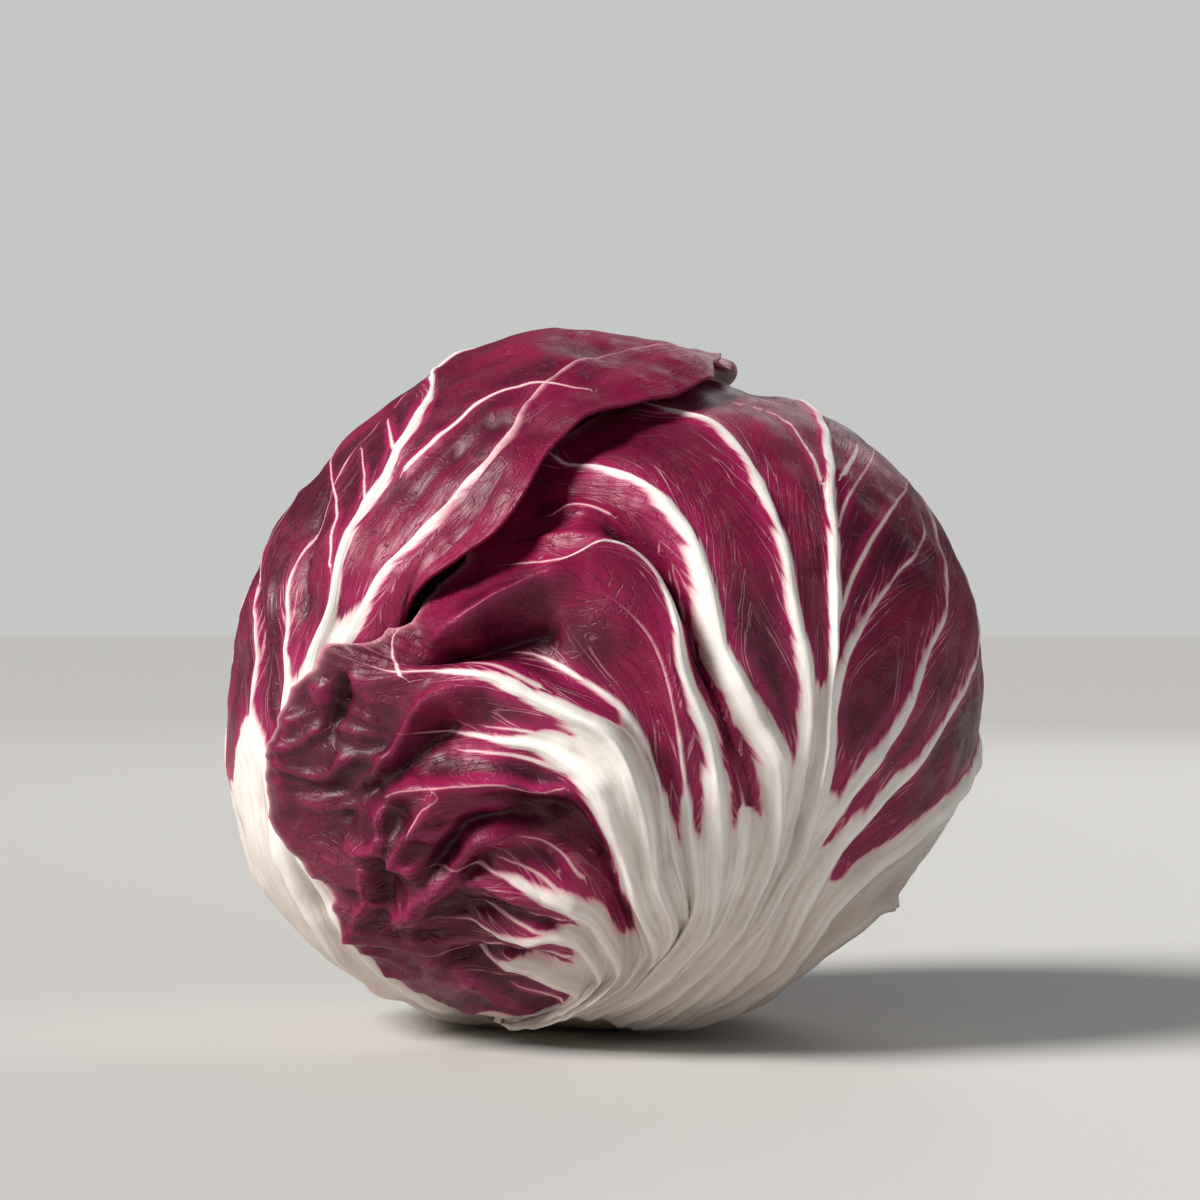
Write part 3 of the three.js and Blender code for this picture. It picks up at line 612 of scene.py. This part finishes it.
def leaf_material(name, painted_hollow_shade, dark_wine_and_painted_shade, wine, bright_and_painted_highlight, white, shade, blush_and_painted_edge_highlight):
    """Wine-red blade with fine slanting veins, webs and cracks, going over to white inside the ribs.

    The chart gives the distance from the nearest rib and the way along it, in centimetres. Veins
    leave a rib at a sharp angle, so they lie where the way along less three times the distance is
    the same. Thin lines are where a noise stretched along them passes its middle value. Webs and
    cracks are the edges of scattered cells. Painted shade darkens the blade in hollows, along its
    creases and cracks and where the leaf is crumpled, and a painted highlight lightens it on crests
    and along the leaf's edge. Heights for the bump are added up in millimetres.
    """
    material, tree = new_material(name)
    place = add_node(tree, "TexCoord").outputs["Object"]
    chart = add_node(tree, "UVMap", uv_map="UVMap").outputs["UV"]
    split = add_node(tree, "SeparateXYZ", {0: chart})
    off, run = split.outputs["X"], split.outputs["Y"]
    margin, rim, frill, vein, vein_half, hollow, crumple = (
        add_node(tree, "Attribute", attribute_name=field).outputs["Fac"]
        for field in ("white", "rim", "frill", "vein", "vein_half", "hollow", "crumple")
    )
    broad = noise(place, 48)
    medium = noise(place, 230)
    grain = noise(place, 1500, 2)
    bend = times_plus(worked("SUBTRACT", medium, 0.5), 0.22, run)
    slanted = times_plus(off, -3.0, bend)

    def along_veins(outward, forward):
        """Noise stretched along the veins, less its middle value, and its distance from that value."""
        at = {0: times(off, outward), 1: times(slanted, forward)}
        value = noise(add_node(tree, "CombineXYZ", at).outputs[0], 1.0, 2.0)
        value = worked("SUBTRACT", value, 0.5)
        return value, worked("ABSOLUTE", value)

    def cell_edges(where, scale, width, **settings):
        """1 on the edges of scattered cells, going down to 0 at a share of a cell from them."""
        inputs = {"Vector": where, "Scale": scale}
        cells = add_node(tree, "TexVoronoi", inputs, feature="DISTANCE_TO_EDGE", **settings)
        return stepped(cells.outputs["Distance"], width, 0.0)

    flame, flame_line = along_veins(0.8, 1.5)
    fibre, fibre_line = along_veins(1.6, 4.5)
    streak_at = add_node(tree, "CombineXYZ", {0: times(off, 16), 1: times(run, 0.9)})
    streak = noise(streak_at.outputs[0], 1.0)

    # The border of the white, drawn out in flames beside a wide rib, and the white of the veins.
    ragged = times_plus(flame, times_plus(frill, 2.4, 0.3), margin)
    ragged = times_plus(fibre, times_plus(frill, 1.0, 0.1), ragged)
    in_vein = worked("SUBTRACT", vein_half, worked("ABSOLUTE", vein))
    ragged = worked("MAXIMUM", ragged, times(in_vein, 1.6))
    whiteness = stepped(ragged, -0.3, 0.25)
    fringe = times(stepped(ragged, -3.4, -0.1), stepped(frill, 0.0, 0.5, 0.25, 1.0))

    # The thin lines of the blade.
    branch = times(stepped(flame_line, 0.016, 0.002), stepped(off, 1.3, 0.1))
    branch = times(branch, stepped(frill, 0.02, 0.3))
    thread = times(stepped(fibre_line, 0.02, 0.002), stepped(broad, 0.4, 0.62))
    net_at = add_node(tree, "CombineXYZ", {0: times(off, 1.3), 1: slanted}).outputs[0]
    net = cell_edges(net_at, 2.6, 0.035, voronoi_dimensions="2D")
    crease = times(net, stepped(broad, 0.42, 0.6))
    sway = add_node(tree, "TexNoise", {"Vector": place, "Scale": 300.0}).outputs["Color"]
    sway = add_node(tree, "VectorMath", {0: sway, 3: 0.004}, operation="SCALE").outputs[0]
    swayed = add_node(tree, "VectorMath", {0: place, 1: sway}, operation="ADD").outputs[0]
    crack = times(cell_edges(swayed, 330.0, 0.04), stepped(medium, 0.47, 0.64))
    crease = worked("MAXIMUM", crease, crack)
    web = times(cell_edges(swayed, 210.0, 0.07), stepped(broad, 0.62, 0.4))

    blade = mixed(stepped(broad, 0.36, 0.66, 0.05, 1.0), dark_wine_and_painted_shade, wine)
    for share, layer in (
        (times(fringe, 0.7), bright_and_painted_highlight),
        # Painted shade over the crumpled part of the leaf.
        (stepped(crumple, 0.2, 0.9, 0.0, 0.72), dark_wine_and_painted_shade),
        (times(thread, 0.2), bright_and_painted_highlight),
        (times(web, 0.14), bright_and_painted_highlight),
        (times(branch, stepped(off, 0.8, 0.0, 0.15, 0.75)), blush_and_painted_edge_highlight),
        # Painted shade along the creases and cracks.
        (times(crease, 0.3), dark_wine_and_painted_shade),
        # Painted shade in hollows, and a painted highlight on crests, from how far a place lies below
        # its surroundings.
        (stepped(hollow, 0.05, 0.8, 0.0, 0.7), painted_hollow_shade),
        (stepped(hollow, -0.1, -0.8, 0.0, 0.35), bright_and_painted_highlight),
    ):
        blade = mixed(share, blade, layer)

    # The white takes beige streaks of its own, and painted shade away from the middle of its rib, in
    # hollows and towards the foot.
    height = add_node(tree, "SeparateXYZ", {0: place}).outputs["Z"]
    streak_and_painted_shade = times_plus(streak, 0.9, stepped(off, 0.02, 0.22, 0.0, 0.3))
    streak_and_painted_shade = worked("ADD", streak_and_painted_shade, stepped(hollow, 0.1, 0.8, 0.0, 0.6))
    streak_and_painted_shade = worked("ADD", streak_and_painted_shade, stepped(height, 0.05, 0.0, 0.0, 0.65))
    flesh = mixed(stepped(streak_and_painted_shade, 0.35, 1.4), white, shade)
    flesh = mixed(stepped(ragged, 0.7, -0.2), flesh, blush_and_painted_edge_highlight)
    colour = mixed(whiteness, blade, flesh)
    # A painted highlight along the leaf's edge.
    colour = mixed(times(rim, 0.8), colour, blush_and_painted_edge_highlight)

    on_blade = times_plus(whiteness, -1.0, 1.0)
    high = times(streak, times_plus(whiteness, 0.1, 0.04))
    for form, millimetres in (
        (times(branch, on_blade), 0.12),
        (times(thread, on_blade), 0.04),
        (times(crease, on_blade), -0.09),
        (medium, 0.14),
        (noise(place, 560), 0.085),
        (times(web, on_blade), 0.035),
        (grain, 0.012),
    ):
        high = times_plus(form, millimetres, high)
    add_surface(tree, colour, stepped(medium, 0.2, 0.8, 0.36, 0.5), high, ior=1.4)
    return material


leaf_finish = leaf_material(
    "radicchio_leaf",
    painted_hollow_shade=(0.026, 0.0008, 0.006, 1), dark_wine_and_painted_shade=(0.06, 0.0015, 0.013, 1), wine=(0.235, 0.004, 0.046, 1),
    bright_and_painted_highlight=(0.38, 0.01, 0.1, 1), white=(0.87, 0.83, 0.79, 1), shade=(0.58, 0.48, 0.42, 1),
    blush_and_painted_edge_highlight=(0.72, 0.3, 0.36, 1),
)
near_piece.data.materials.append(leaf_finish)
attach(near_piece, "root")
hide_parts("leaf_front")


# The left leaf: a strong white midrib runs up its middle from a broad white base, and its blade folds
# over the crown and down over the near leaf, where its free edge casts a deep shadow. It is one leaf,
# held at the stem, and the near leaf's crumpled half lies over its lower right.
LEFT_RING = 13.5  # as LEAF_RING, for a base that starts under the near leaf's
left_ribs = [rib(grown(turn, LEFT_RING, lift), *places) for turn, lift, places in (
    (-150, -0.6, [grown(-138, 40), grown(-130, 72, 0.3), grown(-128, 104, 0.3), grown(-134, 130, 0.3),
     grown(-150, 146, 0.3)]),
    (-141, -0.6, [grown(-124, 42), grown(-112, 75), grown(-109, 105), grown(-116, 132),
     grown(-158, 160, 0.3)]),
    (-132, -0.6, [(415, 1003, -0.3), (338, 944, 0.5), (287, 862, 1), (264, 770, 0.5), (256, 700, 0.5),
     (256, 640, 0.5), (260, 575, 0.5), (298, 502), grown(-84, 138, 0.5), grown(-112, 160, 0.5),
     grown(-178, 168, 0.5)]),
    (-122, -0.8, [(425, 998, -0.6), (350, 936, -0.2), (300, 862, -0.4), (280, 775, -0.2),
     (279, 700, -0.5), (283, 622, -0.5), (290, 572, -0.3), (325, 500), (382, 422, 0.5),
     grown(-63, 148, 0.5), grown(-86, 168, 0.8), grown(150, 164, 1.2)]),
    (-110, -1.8, [(432, 990, -2), (365, 922, -1.2), (318, 850, -0.8), (298, 765, -0.6), (303, 694, -0.2),
     (318, 636, 0.4), (336, 585, 0.9), (366, 510, 1.2), (393, 467, 1.2), (414, 435, 1.1), (436, 400, 1),
     (449, 370, 1), grown(-55, 161, 1), grown(46, 177, 1.4), grown(112, 160, 1.6)]),
    (-98, -3, [(442, 972, -3.2), (378, 900, -2.8), (336, 820, -2.4), (318, 745, -2), (323, 680, -1.2),
     (341, 628), (366, 588, 0.6), (393, 556, 0.8), (441, 507, 0.8), (468, 478, 0.8), (497, 447, 1),
     (542, 388, 1), grown(8, 152, 0.8), (738, 374, 0.6)]),
    (-86, -3.8, [(458, 950, -4.2), (402, 870, -4.2), (362, 790, -4), (350, 705, -3.5), (376, 628, -1.4),
     (425, 545, 1), (465, 500, 1.2), (515, 440, 1.5), (575, 398, 1.5), (650, 367, 1.4),
     (722, 364, 2.4)]),
    (-74, -4, [(475, 930, -4.8), (435, 850, -5.2), (400, 765, -5.4), (386, 680, -5), (400, 594, -1.4),
     (462, 552, 1.6), (500, 527, 2.5), (530, 487, 3), (552, 446, 3), (602, 416, 2.8), (664, 401, 2),
     (716, 380, 1.4)]),
)]
left_whites = [
    (3, 2, 0.8, 0.4, 0.1, 0),
    (3, 2.6, 1.2, 0.6, 0.2, 0),
    (4, 4, 4, 3.4, 1, 0.5, 0.4, 0.3, 0.2, 0.1, 0),
    (4, 4, 4, 3.8, 2.4, 1.1, 0.5, 0.4, 0.2, 0.1, 0),
    (4, 4, 4, 4, 3.8, 3.6, 3, 2.4, 2.1, 1.9, 1.6, 1.3, 0.9, 0.6, 0.4, 0),
    (4, 4, 3, 2.4, 2, 1.9, 1.4, 1, 0.7, 0.4, 0.3, 0.2, 0.1, 0),
    (4, 3, 1, -0.5),
    (3, 1, -0.5),
]
left_tips = [
    grown(-145, 62), (238, 764), (268, 768), (297, 664), (344, 622), (352, 690), grown(-80, 30),
]
left_veins = [
    (0.6, 0.15, [(410, 467), (441, 438), (481, 403), (521, 386), (588, 392)]),
    (0.1, 0.35, [(337, 451), (338, 508), (334, 561)]),
    (0.1, 0.4, [(393, 422), (399, 449)]),
    (0.1, 0.3, [(366, 449), (369, 497)]),
    (2.6, 0.05, [grown(-110, 50), grown(-103, 66), grown(-99, 86), grown(-99, 104), grown(-106, 128)]),
    (2.2, 0.05, [grown(-101, 50), grown(-95, 66), grown(-90, 84), grown(-88, 100), grown(-90, 124)]),
    (1.2, 0.05, [grown(-131, 44), grown(-123, 62), grown(-119, 84), grown(-119, 104), grown(-126, 124)]),
]
left_folds = [
    (-1.7, 2.2, 2.4, [(332, 476), (312, 520), (300, 575), (294, 635)]),
    (0.9, 1.6, 1.6, [(303, 480), (286, 540), (272, 605), (268, 670)]),
    (-1.2, 1.6, 1.6, [(262, 560), (262, 620), (268, 690)]),
    (0.8, 2, 2, [(420, 480), (450, 450), (490, 415), (540, 400)]),
    (-0.7, 2, 3, [(400, 520), (440, 470), (490, 430), (550, 412)]),
    (-0.8, 1.5, 2, [(430, 560), (480, 510), (510, 460)]),
]
left_columns = [20, 22, 28, 36, 42, 46, 46]
left_leaf = leaf_sheet(left_ribs, left_whites, left_columns, rows=170, tooth=0.025, seed=11)
whiten_base(left_leaf, left_tips)
raise_ribs(left_leaf, 0.55)
add_folds(left_leaf, left_folds)
add_veins(left_leaf, left_veins)
add_swells(left_leaf, [(0.36, 15, 12), (0.1, 7, 17), (0.05, 4, 13)])

CELLS_PER_RADIAN = 40
CELL_ROW = 256  # more cells than there are round the ball
NOT_COVERED = 99.0


def lowest_over(direction, cover):
    """The lowest lift of another sheet over each place, in cells of a degree and a half."""

    def cell(towards):
        """The number of a direction's cell."""
        row = (np.arccos(np.clip(towards[..., 2], -1, 1)) * CELLS_PER_RADIAN).astype(int)
        turn = (np.arctan2(towards[..., 1], towards[..., 0]) * CELLS_PER_RADIAN).astype(int)
        return row * CELL_ROW + turn + CELL_ROW // 2

    table = np.full(CELL_ROW * CELL_ROW // 2, NOT_COVERED)
    np.minimum.at(table, cell(cover["direction"]).ravel(), cover["lift"].ravel())
    return table[cell(direction)]


# Below the crumple's upper edge the left leaf is sunk to lie just under the near leaf's inner face.
NEAR_LEAF_DEPTH = 1.3
crumple_top = seen(330, 645)[2]
tucked = np.minimum(left_leaf["lift"], lowest_over(left_leaf["direction"], near_leaf) - NEAR_LEAF_DEPTH)
tucked = np.where(left_leaf["direction"][..., 2] < crumple_top, tucked, left_leaf["lift"])
left_leaf["lift"] -= blurred(left_leaf["lift"] - tucked, 2)
left_piece = leaf_piece("left_leaf", left_leaf)
left_piece.data.materials.append(leaf_finish)
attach(left_piece, "root")
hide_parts("leaf_left")


# Three outer leaves at the back, each under its neighbour on one side. They are as the near leaf is:
# white ribs fanned from the base through wine-red blade, with the midrib the widest.
def fan_ribs(turn, base_spread, blade_spread, top, shoulder, lifts):
    """Ribs that fan evenly to both sides of a midrib, with a lift for each, in order of their turn.

    Top is how many degrees the midrib rises, and shoulder how many fewer the outermost ribs do.
    Spreads are how many degrees those are turned from the midrib, at shares of their length.
    """
    sides = np.linspace(-1, 1, len(lifts))
    ends = top - shoulder * sides ** 2
    spreads = (
        (0, base_spread), (0.22, base_spread * 0.3 + blade_spread * 0.7), (0.5, blade_spread),
        (0.78, blade_spread), (1, blade_spread * 0.92),
    )
    return [
        rib(*(
            grown(turn + side * spread, LEAF_RING + 1 + (end - LEAF_RING) * share, lift)
            for share, spread in spreads
        ))
        for side, end, lift in zip(sides, ends, lifts)
    ]


# The whites from the outermost rib to the midrib, and the same to its other side.
fan_whites = [
    (2.5, 1.8, 0.7, 0.3, 0.1), (2.8, 2.2, 0.9, 0.4, 0.1),
    (3, 2.4, 1.1, 0.5, 0.15), (4, 3.6, 2.2, 1.2, 0.3),
]
fan_whites += fan_whites[2::-1]
# Name, node, turn, spread at the base and of the blade, top, shoulder, lifts, floor and seed.
back_leaves = [
    ("right_back_leaf", "leaf_right_back", 116, 48, 52, 150, 20, (-3.8, -3.8, -3.8, -3.6, -0.6, 0, 0),
     0.0, 21),
    ("back_leaf", "leaf_back", 174, 20, 38, 154, 20, (-4.9, -4.9, -4.6, -0.9, 0, 0, 0), 0.0, 31),
    ("left_back_leaf", "leaf_left_back", -138, 22, 40, 142, 22, (-3.8, -3.8, -3.8, -3.8, -3.8, -5, -6.8),
     3.6, 41),
]
for name, node, turn, base_spread, blade_spread, top, shoulder, lifts, floor, seed in back_leaves:
    ribs = fan_ribs(turn, base_spread, blade_spread, top, shoulder, lifts)
    sheet = leaf_sheet(ribs, fan_whites, [22] * 6, rows=100, tooth=0.03, seed=seed)
    gap_sides = np.arange(6) - 2.5
    whiten_base(sheet, [grown(turn + s / 3 * blade_spread, 58 - 3 * abs(s)) for s in gap_sides])
    raise_ribs(sheet, 0.45)
    add_swells(sheet, [(0.12, 12, seed + 1), (0.05, 4, seed + 2)])
    piece = leaf_piece(name, sheet, floor)
    piece.data.materials.append(leaf_finish)
    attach(piece, "root")
    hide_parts(node)


# The heart: the tight inner leaves, wrapped round one another a little lower each, and seen only in
# the gap at the crown and between the outer leaves. It grows from the stem's top.
HEART_DEPTH = 11
HEART_SIDES = 220
HEART_RINGS = 120
HEART_RADIUS = 50
STEM_CUT_REACH = 56
STEM_TOP_REACH = STEM_CUT_REACH - 12
turn = np.linspace(0, 2 * np.pi, HEART_SIDES, endpoint=False)[:, None]
rise = np.linspace(0, np.pi, HEART_RINGS + 1)[None, :]
direction = STEM_LEAN * np.cos(rise)[..., None] + outward_at(turn) * np.sin(rise)[..., None]
wrap = (direction[..., 0] * 3 + 0.25 * swell(direction, 45, seed=52)) % 1  # 0 to 1 over each leaf
depth = HEART_DEPTH + 1.4 * wrap + 0.15 * swell(direction, 10, seed=51)
reach = ball_radius(direction) - depth
foot_reach = STEM_TOP_REACH / np.maximum(np.cos(rise), 1e-6)
reach = np.where(np.cos(rise) > 0, np.minimum(reach, foot_reach), reach)
places = HEAD_CENTRE + direction * reach[..., None]

# Its ribs run side by side over the crown, slanted to the leaf edges.
RIB_SPACING = 13
rib_place = direction @ (15, 47, 0) + 4 * swell(direction, HEART_RADIUS, seed=53)
from_rib = np.abs(rib_place / RIB_SPACING % 1 - 0.5) * RIB_SPACING
rib_run = direction @ (47, -15, 0) + HEART_RADIUS
half = np.interp(rise * HEART_RADIUS, (0, 60, 110, 157), (3, 1.6, 0.5, 0.3)) * np.ones_like(from_rib)


def open_rings(grid):
    """A grid's rings without its poles, then one value for each pole."""
    return np.concatenate((grid[:, 1:-1].reshape(-1, *grid.shape[2:]), grid[:1, 0], grid[:1, -1]))


inner = np.arange(HEART_SIDES * (HEART_RINGS - 1)).reshape(HEART_SIDES, -1)
quads = strip_quads(inner, np.roll(inner, -1, axis=0))
foot, crown = inner.size, inner.size + 1
first, middle = inner[::2], inner[1::2]
last = np.roll(first, -1, axis=0)
low_cap = np.stack((np.full(len(first), foot), last[:, 0], middle[:, 0], first[:, 0]), axis=-1)
high_cap = np.stack((np.full(len(first), crown), first[:, -1], middle[:, -1], last[:, -1]), axis=-1)
off, half = open_rings(from_rib), open_rings(half)
nothing = np.zeros(len(off))
heart_piece = make_mesh(
    "heart_leaves", open_rings(places), np.concatenate((quads, low_cap, high_cap)),
    {
        "white": half - off, "rim": nothing, "hollow": nothing, "crumple": nothing,
        "frill": np.clip(half / 1.5, 0, 1), "vein": nothing + NO_VEIN, "vein_half": nothing - NO_VEIN,
    },
    np.stack((off, open_rings(rib_run)), axis=-1) / 10,
)
heart_piece.data.materials.append(leaf_finish)
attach(heart_piece, "root")
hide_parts("heart")


# The cut stem: a short pale stump, browned where the knife went through. The leaves grow from its
# side, so only its rim and cut face show at the foot. It is turned round its own leaning axis.
stem_profile = np.array((
    (0.0, 0.0), (3, 0.0), (6, 0.05), (8.6, 0.1), (9.7, 0.3), (10.2, 0.8), (10.4, 1.5), (10.3, 2.8),
    (10.1, 4), (9.8, 6), (9.3, 8), (8.8, 10), (8.6, 11.2), (8.2, 11.5), (5, 11.5), (0.0, 11.5),
))  # distance from the axis and from the cut, in millimetres
around = np.linspace(0, 2 * np.pi, 96, endpoint=False)[:, None]
shares = np.linspace(0, 1, 60)
knots, _ = rib(*stem_profile)
out, up = (np.interp(shares, knots, stem_profile[:, k]) for k in (0, 1))
ripple = 1 + 0.02 * np.sin(7 * around + 1) + 0.012 * np.sin(13 * around)
stem_foot = HEAD_CENTRE + STEM_LEAN * STEM_CUT_REACH
places = stem_foot + outward_at(around) * (out * ripple)[..., None] - STEM_LEAN * up[None, :, None]
places[..., 2] = np.maximum(places[..., 2], 0)
index = np.arange(places[..., 0].size).reshape(places.shape[:2])
quads = strip_quads(index, np.roll(index, -1, axis=0))
stem_piece = make_mesh("cut_stem", places.reshape(-1, 3), quads, {})
stem_finish, tree = new_material("cut_stem")
place = add_node(tree, "TexCoord").outputs["Object"]
blotch = noise(place, 220, 4)
fibre = noise(place, 900)
colour = mixed(stepped(blotch, 0.35, 0.7), (0.62, 0.5, 0.36, 1), (0.38, 0.24, 0.13, 1))
colour = mixed(stepped(fibre, 0.3, 0.8, 0, 0.4), colour, (0.74, 0.66, 0.52, 1))
high = times_plus(fibre, 0.2, times(blotch, 0.3))
add_surface(tree, colour, stepped(fibre, 0.2, 0.8, 0.6, 0.8), high, ior=1.5)
stem_piece.data.materials.append(stem_finish)
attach(stem_piece, "root")
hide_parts("stem")


# A plain pale floor, a broad sun from the upper left, a weak light from the right and another from
# behind, and the camera a little above the head's middle, as in the photograph.
floor_mesh = bpy.data.meshes.new("floor")
floor_mesh.from_pydata([(-6, -6, 0), (6, -6, 0), (6, 6, 0), (-6, 6, 0)], [], [(0, 1, 2, 3)])
floor_piece = add_object("floor", floor_mesh)
floor_finish = bpy.data.materials.new("pale_floor")
floor_finish.use_nodes = True
floor_surface = floor_finish.node_tree.nodes["Principled BSDF"]
floor_surface.inputs["Base Color"].default_value = (0.62, 0.61, 0.59, 1)
floor_surface.inputs["Roughness"].default_value = 0.55
floor_mesh.materials.append(floor_finish)


def turned_to(place, aim):
    """The turn of a lamp at place that faces aim."""
    heading = np.array(aim) - np.array(place)
    around = np.arctan2(heading[1], heading[0]) - np.pi / 2
    dropped = np.arctan2(-heading[2], np.hypot(heading[0], heading[1]))
    return np.pi / 2 - dropped, 0, around


MIDDLE = (0, 0, 0.055)
# Name, kind, place, size (an angle for the sun), power and colour.
lights = [
    ("key_light", "SUN", (-0.95, -0.5, 0.9), 0.4, 4.7, (1, 0.98, 0.95)),
    ("fill_light", "AREA", (0.8, -0.9, 0.5), 0.7, 1.7, (0.97, 0.98, 1)),
    ("rim_light", "AREA", (0.35, 0.9, 0.7), 0.6, 2.0, (1, 1, 1)),
]
for name, kind, where, size, power, colour in lights:
    light = bpy.data.lights.new(name, kind)
    if kind == "SUN":
        light.angle = size
    else:
        light.size = size
    light.energy = power
    light.color = colour
    lamp = add_object(name, light)
    lamp.location = where
    lamp.rotation_euler = turned_to(where, MIDDLE)
world = bpy.data.worlds.new("pale_room")
world.use_nodes = True
tree = world.node_tree
tree.nodes.clear()
dim = add_node(tree, "Background", {"Color": (0.8, 0.82, 0.8, 1), "Strength": 0.11})
pale = add_node(tree, "Background", {"Color": (0.56, 0.57, 0.56, 1), "Strength": 1.0})
seen_directly = add_node(tree, "LightPath").outputs["Is Camera Ray"]
shown = add_node(tree, "MixShader", {0: seen_directly, 1: dim.outputs[0], 2: pale.outputs[0]})
add_node(tree, "OutputWorld", {"Surface": shown.outputs[0]})
bpy.context.scene.world = world

camera = bpy.data.cameras.new("camera")
camera.lens = 100
camera.sensor_width = 36
viewer = add_object("camera", camera)
viewer.location = (-0.001, -0.5592, 0.0716)
viewer.rotation_euler = (np.pi / 2, 0, 0)
bpy.context.scene.camera = viewer
bpy.context.scene.view_settings.view_transform = "Standard"
